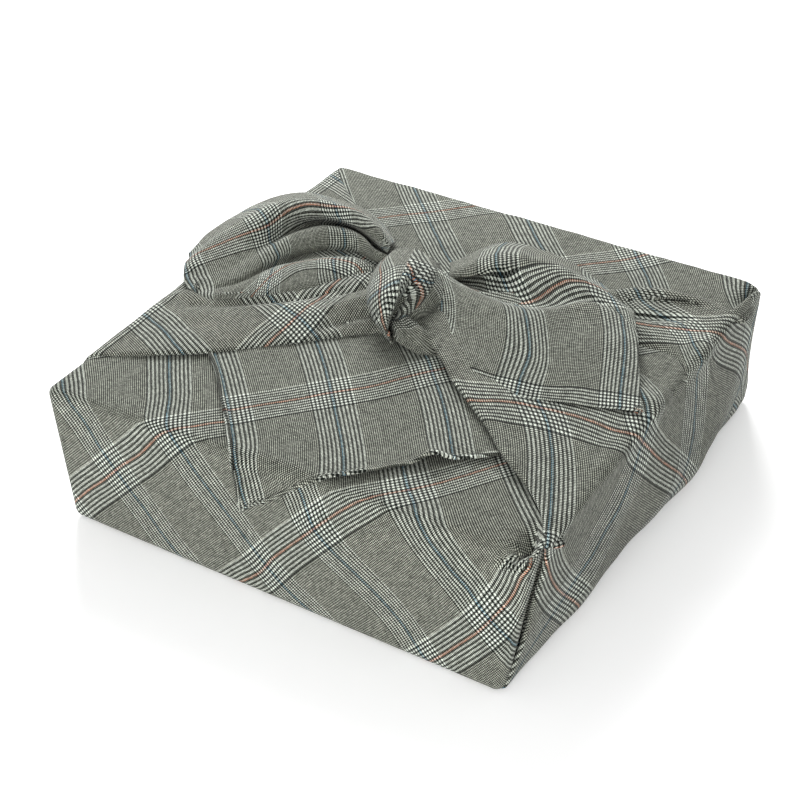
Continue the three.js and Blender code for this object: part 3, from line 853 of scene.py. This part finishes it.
LEFT_ROWS = [  # back edge, front edge, puff, from the side to the knot
    ((-166, 161, 98), (-162, -128, 97), 1.5),
    ((-152, 145, 100), (-148, -120, 98.5), 2.5),
    ((-138, 131, 101), (-129, -110, 100.5), 3.5),
    ((-120, 115, 102), (-110, -99, 101.5), 4.5),
    ((-102, 99, 104), (-92, -87, 102), 5.5),
    ((-84, 84, 105), (-74, -71, 102.3), 6),
    ((-66, 69, 107), (-51, -50, 103), 6),
    ((-46, 50, 109), (-32, -32, 103.5), 5),
    ((-26, 36, 111), (-19, -22, 104), 4),
    ((-6, 26, 112), (-4, -12, 105), 3),
]
LEFT_CREASES = [
    ([(-41, 16.5, 108, -5), (-48.5, 6, 108, -5), (-58.5, -8.5, 107, -4), (-72.5, -28, 106, 0)], (3, 4)),
    ([(-32.5, 4, 108, 4), (-45, -12, 107, 3), (-61, -34, 106, 1), (-72.5, -50.5, 106, 0)], (4, 5)),
    ([(-23, -9, 107, -5), (-33.5, -18.5, 106, -4), (-45, -35.5, 106, -2), (-58, -50, 105, 0)], (3.5, 4)),
    ([(-158.5, -58.5, 103, 0), (-150.5, -45, 104, 3), (-128, -51.5, 105, 1)], (5, 5)),
    ([(-145.5, -62.5, 103, 0), (-136, -54, 104, -2), (-115.5, -50, 105, 0)], (5, 4)),
    ([(-151, -82, 101, 0), (-126, -78, 103, -1.5), (-103, -62, 104, 0)], (8, 8)),
    ([(-131.5, -54.5, 104, 0), (-110, -41, 105, -3), (-83.5, -23, 106, -4), (-65, -4.5, 107, -3),
     (-51, 15.5, 107, 0)], (3, 5)),
]
LEFT_LINES = [
    ("blue", 6, [(-156.5, -78, 100), (-141, -84.5, 101), (-126, -94, 102), (-120, -97, 102)]),
    ("blue", 7, [(-85.5, -31.5, 108), (-77.5, -35, 107.5), (-68, -39, 107.5), (-55.5, -43.5, 105),
     (-48, -46.5, 103.5)]),
    ("rust", 5, [(-66.5, -12.5, 109), (-68, -24, 108), (-66.5, -37.5, 107.5), (-67.5, -51, 105.5),
     (-69, -61.5, 103.5)]),
]
LEFT_EDGE = (-158, -157.5, -154, -148, -141, -136, -132)
left_grids = wing_grid(-1, LEFT_EDGE, LEFT_ROWS)
finished_wing("left_wing", left_grids, LEFT_CREASES, 11, (63, 90), LEFT_LINES)

RIGHT_ROWS = [
    ((167, 151, 98), (168, -152, 95.5), 1),
    ((163, 117, 102), (163, -146, 97.5), 1.5),
    ((150, 122, 101.5), (154, -131, 98.8), 1.5),
    ((134, 118, 103), (135.5, -113.5, 100.5), 1),
    ((118, 110, 105), (113, -99, 102.5), 0),
    ((102, 100, 106.5), (91.5, -79, 103.8), -0.5),
    ((86, 88, 108), (72, -64, 105.5), -0.7),
    ((68, 74, 109.5), (56, -52, 106.5), -1),
    ((48, 58, 111), (36, -34, 108.5), 0),
    ((26, 42, 112), (17, -19, 110), 0),
    ((4, 30, 112), (0, -8, 110), 0),
]
RIGHT_CREASES = [
    ([(125, 42.5, 103, -8), (140.5, 37.5, 102, -13), (158.5, 30, 102, -12), (177.5, 20, 101, -3)], (12, 11)),
    ([(148.5, 80.5, 102, 0), (168, 61.5, 102, 4), (185.5, 31, 101, 1)], (8, 8)),
    ([(175, 62, 100, -1), (183.5, 33, 99, -4), (193, -5, 96, -3)], (6, 6)),
    ([(88, 84.5, 108, 1), (105, 100, 106, 3), (137, 114.5, 103, 3), (155, 117.5, 101, 0)], (5, 6)),
    ([(98.5, 77, 106, -2), (115, 78.5, 105, -4), (129.5, 85, 104, -3), (149, 95.5, 103, 0)], (4, 5)),
    ([(75.5, -60.5, 105, 0), (117, -101.5, 102.5, 2), (153, -134, 99, 1.5)], (7, 7)),
    ([(151.5, -1.5, 103, 3), (163.5, -7, 103, 3), (175, -20, 102, 1)], (6, 8)),
]
BAND_START, BAND_END = -0.2255, 0.2059  # a band's edges, counted from its blue line in repeats
RIGHT_LINES = [
    ("blue", 3, [(119, -57, 102.5), (133.5, -82.5, 101.5), (147.5, -109, 100), (158, -131, 99.5),
     (163, -143, 98)]),
    ("blue", 4, [(160.5, -9, 104), (165, -21.5, 101), (168.5, -35, 92), (168.5, -44, 78.5),
     (167.5, -52, 62.5), (166.5, -56.5, 54), (166, -70.5, 53.5), (166, -78, 48.5), (166, -92, 44),
     (165, -105.5, 42)]),
    ("blue", 5, [(106, 96, 107.5), (118.5, 86, 104), (146.5, 80.5, 102), (153.5, 69.5, 103.5),
     (161.5, 59, 104), (166.5, 51.5, 100.5), (166.5, 55.5, 86), (165.5, 59.5, 67),
     (167.5, 58.5, 44), (170.5, 42.5, 44)]),
    ("blue", BAND_START + 5, [(137, 74, 103), (148.5, 63, 102.5), (155.5, 56, 102), (160, 47, 100),
     (165, 40.5, 96), (166.5, 33.5, 82.5)]),
    ("blue", BAND_END + 5, [(158, 86, 102.5), (165, 68.5, 104.5), (169.5, 61.5, 100.5), (166.5, 72, 88.5),
     (166, 74.5, 77.5), (166, 76.5, 57.5)]),
    ("rust", 1, [(166.5, -150, 80), (165.5, -141.5, 65), (164.5, -126.5, 45.5), (164, -105, 22.5)]),
    ("rust", 2, [(75.5, -64.5, 105.5), (84, -54, 105), (99, -47, 103.5), (108, -47, 102.5),
     (127, -42.5, 102.5), (143.5, -43, 102), (162.5, -44.5, 101), (168.5, -26, 84),
     (171, -1.5, 59), (171.5, 37, 22)]),
    ("rust", 3, [(117, 66, 104.5), (126.5, 70, 104), (135.5, 73, 103.5), (146.5, 81, 102),
     (158.5, 83.5, 102.5), (165.5, 84, 101), (167.5, 93, 94.5), (167, 111, 81.5),
     (166.5, 141.5, 60)]),
]
RIGHT_EDGE = (-165, -163, -159, -152, -151, -149, -150)
right_grids = wing_grid(1, RIGHT_EDGE, RIGHT_ROWS)
finished_wing("right_wing", right_grids, RIGHT_CREASES, 12, (31, 0), RIGHT_LINES)

# ---------------------------------------------------------------- tails
# The last of the two corners past the knot. The left one is bunched like a shell, the right one
# spread out flat to the square corner of the cloth. They stand proud of the wings below.


def through_lines(lines, along, across):
    """A grid through lines that all run from the knot to the tail's end, back line first."""
    runs = np.stack([smooth_line(line, along) for line in lines])
    grid = np.empty((along, across, 3))
    for i in range(along):
        places = chord_places(runs[:, i])
        grid[i] = read_curve(runs[:, i], places, np.linspace(0, 1, across))
    return grid


def arc_grid(surface, first=0):
    """A grid flattened by the distances across each row and along each line from its row first."""
    step = np.linalg.norm(np.diff(surface, axis=1), axis=-1)
    across = np.concatenate([np.zeros((len(surface), 1)), np.cumsum(step, 1)], 1)
    across -= across[:, across.shape[1] // 2][:, None]
    step = np.linalg.norm(np.diff(surface, axis=0), axis=-1)
    along = np.concatenate([np.zeros((1, surface.shape[1])), np.cumsum(step, 0)])
    along -= along[first]
    return np.stack([along, across], -1)


TAIL_TUCK = 4  # mm
LEFT_TAIL = [  # its folds' ridges and hollows from the back edge to the front, from the knot out
    [(-68, 83.5, 104), (-85.5, 98, 104), (-114, 112, 104), (-134, 114, 104), (-155, 112.5, 104),
     (-169, 104, 104), (-178.5, 84, 104), (-182.5, 59, 104), (-184, 31, 104), (-179, -1, 103.5)],
    [(-54, 57.5, 118), (-66, 64.5, 121), (-91, 77, 122), (-110, 77, 123), (-130.5, 75.5, 123),
     (-145, 69, 122), (-157, 55, 119), (-166, 35, 114), (-171, 14, 110), (-172.5, -9.5, 105.5)],
    [(-48.5, 43.5, 123), (-57, 47, 128), (-80.5, 59, 130), (-99.5, 60.5, 131), (-119, 59, 131),
     (-133.5, 52.5, 130), (-144.5, 39.5, 127), (-155, 21.5, 121), (-161.5, 4, 116),
     (-166.5, -16.5, 110), (-169.5, -18.5, 107)],
    [(-48, 40, 122), (-64, 47.5, 125), (-90.5, 57, 126), (-116, 53.5, 126), (-131, 43.5, 125),
     (-140, 25, 122), (-148.5, 6, 117), (-156, -11, 112.5), (-161.5, -24, 109),
     (-166, -24.5, 106.5)],
    [(-52.5, 45.5, 115), (-68, 54.5, 113), (-85.5, 65.5, 112), (-103, 68.5, 112),
     (-116.5, 64, 112), (-124.5, 54, 112), (-130, 41, 112), (-132.5, 18.5, 112),
     (-133.5, -0.5, 111), (-138.5, -16.5, 109), (-151, -27.5, 107), (-163, -28, 106)],
    [(-47.5, 38.5, 119), (-56.5, 37, 121), (-68, 43.5, 122), (-79.5, 48, 122), (-89, 48.5, 122),
     (-102.5, 43.5, 121.5), (-111.5, 36.5, 120), (-117.5, 28, 118.5), (-123.5, 9.5, 115),
     (-127, -4.5, 112.5), (-133, -19, 109), (-146, -31, 107), (-161, -30.5, 105.5)],
    [(-48, 37.5, 115), (-58, 38, 114), (-71, 43, 114), (-86.5, 43, 114), (-98.5, 36, 114),
     (-106.5, 27.5, 113.5), (-112.5, 18.5, 113), (-118, 3, 111.5), (-122, -12, 110),
     (-129.5, -26, 108), (-142.5, -34, 106), (-157.5, -34.5, 105.5)],
    [(-53, 41.5, 107), (-59, 40.5, 106.5), (-74, 48, 106), (-91.5, 43.5, 105.5), (-107, 29, 106),
     (-116, 10.5, 107), (-119.5, -6.5, 107.5), (-122, -18, 107), (-129, -29, 106),
     (-140, -37.5, 105.5), (-155, -36.5, 105)],
    [(-47.5, 33.5, 111), (-53, 30.5, 113), (-67, 29, 115), (-78, 22, 116), (-92.5, 7.5, 116),
     (-104.5, -7, 115), (-113, -19, 112.5), (-120, -27, 110), (-128, -35, 107),
     (-138, -41, 105.5), (-152.5, -38.5, 104.5)],
    [(-48, 29.5, 109), (-52.5, 26, 111), (-64, 18, 113), (-76, 7.5, 114), (-87, -5.5, 113.5),
     (-99, -20, 112), (-110, -31.5, 110), (-124.5, -40, 107), (-135.5, -44.5, 105),
     (-149, -41.5, 104)],
    [(-49.5, 27, 106), (-53, 23, 107), (-63.5, 11.5, 109), (-74.5, -3.5, 109.5), (-86, -17, 109),
     (-99.5, -29, 108), (-114, -37.5, 106.5), (-127.5, -44.5, 104.5), (-137.5, -45.5, 103.5),
     (-146, -42, 103)],
    [(-51, 24.5, 104), (-60, 17, 105), (-67, 8.5, 105), (-75.5, -5.5, 105), (-87.5, -18.5, 105),
     (-102, -28, 104.5), (-117, -38.5, 104), (-128.5, -45, 103), (-136.5, -46, 102.5),
     (-141.5, -44.5, 102.5)],
]
RIGHT_TAIL = [
    [(-21.5, 75.5, 104), (-17.5, 86, 104), (-12.5, 103.5, 104), (-2.5, 117.5, 104),
     (15, 123, 104), (37.5, 120.5, 104), (59.5, 111.5, 104), (81.5, 99, 104), (106.5, 84.5, 103)],
    [(-11.5, 58, 111), (-6.5, 66, 113), (0.5, 78.5, 115), (11.5, 91, 116), (28.5, 96.5, 115),
     (46.5, 102, 111), (66.5, 97, 108.5), (85, 91.5, 107), (110.5, 77.5, 105)],
    [(-7, 49, 113), (2.5, 55, 118), (9, 63.5, 121), (16, 71.5, 122), (24, 78, 122),
     (36.5, 80, 121), (48.5, 83.5, 119), (62.5, 83.5, 117), (77.5, 82.5, 113), (89.5, 82.5, 110),
     (103, 77, 108), (115.5, 68, 107)],
    [(-4, 44, 112), (4.5, 47.5, 114), (12.5, 51.5, 116), (19, 55.5, 118), (25.5, 64, 119.5),
     (41, 68.5, 119), (58, 70.5, 117), (75, 73, 113.5), (88.5, 74, 111), (101.5, 71.5, 109),
     (119, 62, 107.5)],
    [(-6.5, 49, 108), (1.5, 53, 109), (10.5, 56, 111), (19, 56.5, 114), (26, 62.5, 116),
     (45, 61.5, 117), (60, 67, 115), (76.5, 70, 112.5), (89.5, 73, 110.5), (103, 68, 109),
     (120.5, 58.5, 107.5)],
    [(-6.5, 49, 107), (6.5, 49, 108), (21.5, 45.5, 109), (39.5, 42, 109.5), (54, 44, 110),
     (65, 50.5, 110), (72.5, 58.5, 110.5), (79.5, 67, 110.5), (92, 70.5, 109.5), (105, 66, 108.5),
     (123, 54.5, 107.5)],
    [(-14, 38, 123), (-2.5, 34, 121), (7, 30, 119), (16.5, 26, 119.5), (29.5, 21.5, 120),
     (42, 18, 120.5), (52.5, 18.5, 120.5), (64.5, 21, 120), (72, 27.5, 119), (77.5, 37.5, 117.5),
     (81.5, 52, 115), (88.5, 62.5, 112.5), (100.5, 62, 110.5), (126.5, 48.5, 107.5)],
    [(-7.5, 28, 121), (5, 21.5, 118.5), (28, 8, 117), (48.5, 1.5, 116.5), (67, -1, 116.5),
     (81.5, 3.5, 115), (93.5, 13.5, 113.5), (105.5, 25, 112), (117.5, 30.5, 110.5),
     (134.5, 32, 107.5)],
    [(-8, 23, 116), (6.5, 13, 113), (31, -5, 111.5), (54.5, -16.5, 111.5), (75, -19.5, 111),
     (92.5, -17, 110.5), (108, -10, 109.5), (121, -1.5, 108.5), (134, 3, 107.5),
     (146.5, 7, 106.5)],
    [(-10.5, 18, 112), (3.5, 6, 109), (27.5, -14, 108), (53.5, -31, 107.5), (75.5, -36, 107),
     (95, -35, 106.5), (113, -31, 106), (129.5, -24, 105.5), (145, -18.5, 105.5),
     (157.5, -15, 105)],
    [(-12, 11.5, 108), (2.5, -3, 106), (15.5, -14, 105), (28.5, -23, 105), (43, -31.5, 105),
     (53.5, -37, 105), (64, -43.5, 104.5), (78.5, -44, 104.5), (93.5, -42.5, 104.5),
     (105.5, -39, 104.5), (121.5, -34.5, 104.5), (138, -29.5, 104.5), (151.5, -24, 104.5),
     (161, -22, 104.5)],
]


def finished_tail(name, lines, grid, seed, turns, marks, edge_radius):
    """A tail through those lines, with its side and its end turned under."""
    surface = through_lines(lines, *grid)
    up = normals_of(surface)
    up *= np.sign(up[..., 2].sum())
    surface = wrinkled(surface, up, seed, 0.3)
    flat = arc_grid(surface, -1)
    sign = np.sign((normals_of(surface) * up).sum())
    surface, flat = rolled(surface, flat, edge_radius, TAIL_TUCK, sign)
    turned, turned_flat = surface.transpose(1, 0, 2), flat.transpose(1, 0, 2)
    turned, turned_flat = rolled(turned, turned_flat, edge_radius, TAIL_TUCK, -sign)
    surface, flat = turned.transpose(1, 0, 2), turned_flat.transpose(1, 0, 2)
    return cloth_piece(name, [(surface, thread_map(surface, flat, turns, marks, 0.02))])


LEFT_TAIL_LINES = [
    ("blue", 0, [(-162.5, -27.5, 106), (-153.5, -36.5, 105), (-142, -43.5, 104)]),
    ("blue", 1, [(-142, 33, 125.5), (-137, 32, 123), (-135, 31, 117.5), (-131, 24.5, 112),
     (-119, 12.5, 115.5), (-114.5, 13, 110.5)]),
    ("blue", 2, [(-100.5, 59.5, 130), (-98, 57.5, 126.5), (-79, 16.5, 116), (-70, 12.5, 113.5)]),
    ("rust", 1, [(-117, 58, 130), (-124.5, 53.5, 129), (-130.5, 46.5, 127), (-134, 37.5, 122.5),
     (-136, 30, 120), (-139.5, 21.5, 120), (-146.5, 12.5, 119), (-151, 6, 117)]),
    ("rust", 0, [(-102, -5, 115.5), (-103.5, -16.5, 113.5), (-105, -25.5, 111.5),
     (-105, -32, 108.5)]),
]
RIGHT_TAIL_LINES = [
    ("blue", 0, [(-2.5, 26.5, 120.5), (1.5, 21, 117.5), (14, 3.5, 110.5), (14, -6.5, 107),
     (16.5, -13, 105.5)]),
    ("blue", 1, [(24, 60, 114.5), (31, 55, 111.5), (37, 48.5, 110), (64.5, 18, 120), (72, 6, 117.5),
     (80, -5, 114.5), (84, -12.5, 112.5), (85, -22.5, 110), (86.5, -32, 107.5), (90, -40.5, 105)]),
    ("blue", 2, [(94, 79, 109.5), (104, 70, 109), (117, 49.5, 109), (126.5, 31.5, 109), (134.5, 11, 107.5),
     (143, -10.5, 106), (148, -23.5, 105)]),
    ("rust", 0, [(69.5, 79, 115.5), (64.5, 73.5, 116), (60.5, 66, 114.5), (58.5, 59.5, 113),
     (56, 51.5, 110.5), (52, 43, 110)]),
    ("rust", 0.978, [(64.5, -44, 103.5), (75.5, -44.5, 103), (90.5, -43.5, 104.5), (105, -39.5, 104),
     (119.5, -35.5, 104), (133.5, -31.5, 104), (146.5, -26.5, 104), (156.5, -23, 104.5)]),
]
left_tail = finished_tail(
    "left_tail", LEFT_TAIL, (150, 210), 21, (180, 180), LEFT_TAIL_LINES, edge_radius=1.6
)
right_tail = finished_tail(
    "right_tail", RIGHT_TAIL, (170, 190), 22, (0, 0), RIGHT_TAIL_LINES, edge_radius=0.7
)

# ---------------------------------------------------------------- knot
# The two corners are tied in a square knot. One band crosses it from back to front, gathered in
# soft pleats, and turns under at the bottom over the strand that runs out below.

KNOT_BAND = [
    [(-62, 62.5, 108), (-60.5, 45.5, 106), (-55.5, 26.5, 104), (-47, 10, 102), (-34, -3.5, 101),
     (-21.5, -14, 100), (-10.5, -21, 99)],
    [(-46.5, 42.5, 121), (-42.5, 21, 123), (-38.5, 3.5, 121), (-33.5, -10, 117), (-26, -19, 112),
     (-17.5, -23, 106), (-9, -25.5, 101)],
    [(-40.5, 37, 127), (-35.5, 15, 129.5), (-29.5, -5.5, 128), (-25, -19, 124), (-18, -27, 118),
     (-11.5, -29, 111), (-6, -29, 103)],
    [(-35, 35.5, 130), (-27.5, 12, 134), (-21.5, -9, 133), (-16.5, -23.5, 129.5), (-11, -31, 123),
     (-6.5, -34, 115), (-3.5, -31.5, 104.5)],
    [(-28.5, 35, 132), (-19.5, 10.5, 137), (-12.5, -10.5, 137), (-9, -25, 132.5),
     (-6.5, -32, 125.5), (-4, -34.5, 116), (-2, -33, 105)],
    [(-22.5, 35.5, 132), (-13, 12.5, 137), (-7, -7, 137), (-5, -18.5, 132.5), (-4.5, -27.5, 126),
     (-4.5, -31.5, 116), (-2, -32, 104.5)],
    [(-19.5, 37, 130), (-10, 16, 134), (-5.5, 1, 132), (-7, -6.5, 126), (-9, -12.5, 119),
     (-10, -19.5, 110), (-3, -29.5, 103)],
    [(-16.5, 38.5, 128), (-6.5, 18, 132), (-1.5, 3.5, 130.5), (0, -8.5, 127), (-2.5, -17, 120.5),
     (-6, -21.5, 111.5), (-1.5, -30.5, 104)],
    [(-13.5, 40, 125), (-3.5, 22, 128), (1, 9.5, 126), (2.5, -2.5, 122.5), (-1, -10.5, 116),
     (-6.5, -15, 108), (-2, -27, 102.5)],
    [(-15, 47.5, 119), (-5.5, 31, 120), (-1.5, 18.5, 118), (-0.5, 7, 114), (-3, -2, 109),
     (-7, -11.5, 104), (-3.5, -23, 100)],
    [(-24.5, 67.5, 107), (-15, 50.5, 107), (-10, 36.5, 105), (-6.5, 20.5, 103), (-7.5, 6.5, 101),
     (-8, -9, 100), (-6, -19.5, 98)],
]
knot_surface = through_lines(KNOT_BAND, 120, 150)
knot_up = normals_of(knot_surface)
knot_up *= np.sign(knot_up[..., 2].sum())
KNOT_CREASES = [
    ([(-5, -4, 127, -1), (-7, -8, 121.5, -4), (-11, -11, 114, -6), (-10.5, -18.5, 110, -4),
     (-3.5, -34.5, 112, -1)], (2.2, 2.6)),
    ([(-2.5, 0, 111, -1), (-5, -7.5, 109, -2.5), (-8.5, -10, 104, -2.5), (-4, -26, 107, -1)], (2, 2)),
    ([(-18, -27, 120.5, 0), (-13, -29, 116, -2), (-9.5, -29, 110, -2)], (2, 2)),
]
for route, widths in KNOT_CREASES:
    knot_surface = crease(knot_surface, route, widths, knot_up)
knot_flat = arc_grid(knot_surface)
PLEAT_COLUMN = 76
IN_PLEAT = 78  # mm of cloth hidden in the pleat down the middle of the band
knot_flat[:, PLEAT_COLUMN:, 1] += IN_PLEAT
KNOT_LINES = [
    ("rust", 0, [(-39, 15.5, 126), (-26.5, -4, 131), (-19.5, -16.5, 131.5), (-16, -24, 129.5),
     (-12.5, -29, 126), (-8.5, -33, 121), (-6, -34.5, 117)]),
    ("rust", 1, [(-7.5, 0.5, 136.5), (-4, 2, 131.5), (0, 0, 129), (2, -2.5, 125.5), (2, -3.5, 121)]),
    ("blue", 0, [(-8, -4.5, 137.5), (-10, -12, 137), (-13.5, -18.5, 134.5), (-21.5, -20, 128),
     (-29, -16.5, 118)]),
]
knot_threads = thread_map(knot_surface, knot_flat, (35, 0), KNOT_LINES)
knot_band = cloth_piece("knot_band", [(knot_surface, knot_threads)])


def gathered_strand(name, stations, pleats, depth):
    """A strand of gathered cloth: stations are (x, y, z, lean x, lean y, lean z, half width,
    half height); pleats run along it, depth mm deep. Its ends are closed."""
    along, around = 70, 96
    line = smooth_line(stations, along)
    at, lean, size = line[:, :3], line[:, 3:6], line[:, 6:8]
    ahead = np.gradient(at, axis=0)
    ahead /= np.linalg.norm(ahead, axis=-1, keepdims=True)
    lean = lean - ahead * np.einsum("ij,ij->i", lean, ahead)[:, None]
    lean /= np.linalg.norm(lean, axis=-1, keepdims=True)
    up = np.cross(ahead, lean)
    turn = np.linspace(0, 2 * np.pi, around)
    full = np.sqrt(np.clip(1 - np.linspace(-1, 1, along) ** 8, 0, 1))
    ripple = 1 - depth / size.mean() * (0.5 - 0.5 * np.cos(pleats * turn))
    ring = np.stack([np.cos(turn), np.sin(turn)], -1) * ripple[:, None]
    surface = (
        at[:, None]
        + lean[:, None] * (size[:, :1] * full[:, None] * ring[None, :, 0])[..., None]
        + up[:, None] * (size[:, 1:] * full[:, None] * ring[None, :, 1])[..., None]
    )
    return cloth_piece(name, [(surface, thread_map(surface, arc_grid(surface), (10, 10), []))])


KNOT_LOBE = [
    (-12, -8, 106, 0.3, 1, 0.2, 9, 7),
    (0, -19, 108, 0.5, 1, 0, 10, 8),
    (14, -23, 106, 0.5, 1, 0, 9, 7),
    (26, -18, 100, 0.5, 1, 0, 8, 5),
]
KNOT_CORE = [
    (-16, 34, 108, 1, 0, 0, 14, 9),
    (-14, 20, 112, 1, 0, 0, 20, 16),
    (-12, 0, 110, 1, 0, 0, 18, 16),
    (-8, -18, 104, 1, 0, 0, 10, 8),
]
knot_lobe = gathered_strand("knot_lobe", KNOT_LOBE, 5, 1.5)
knot_core = gathered_strand("knot_core", KNOT_CORE, 4, 1)
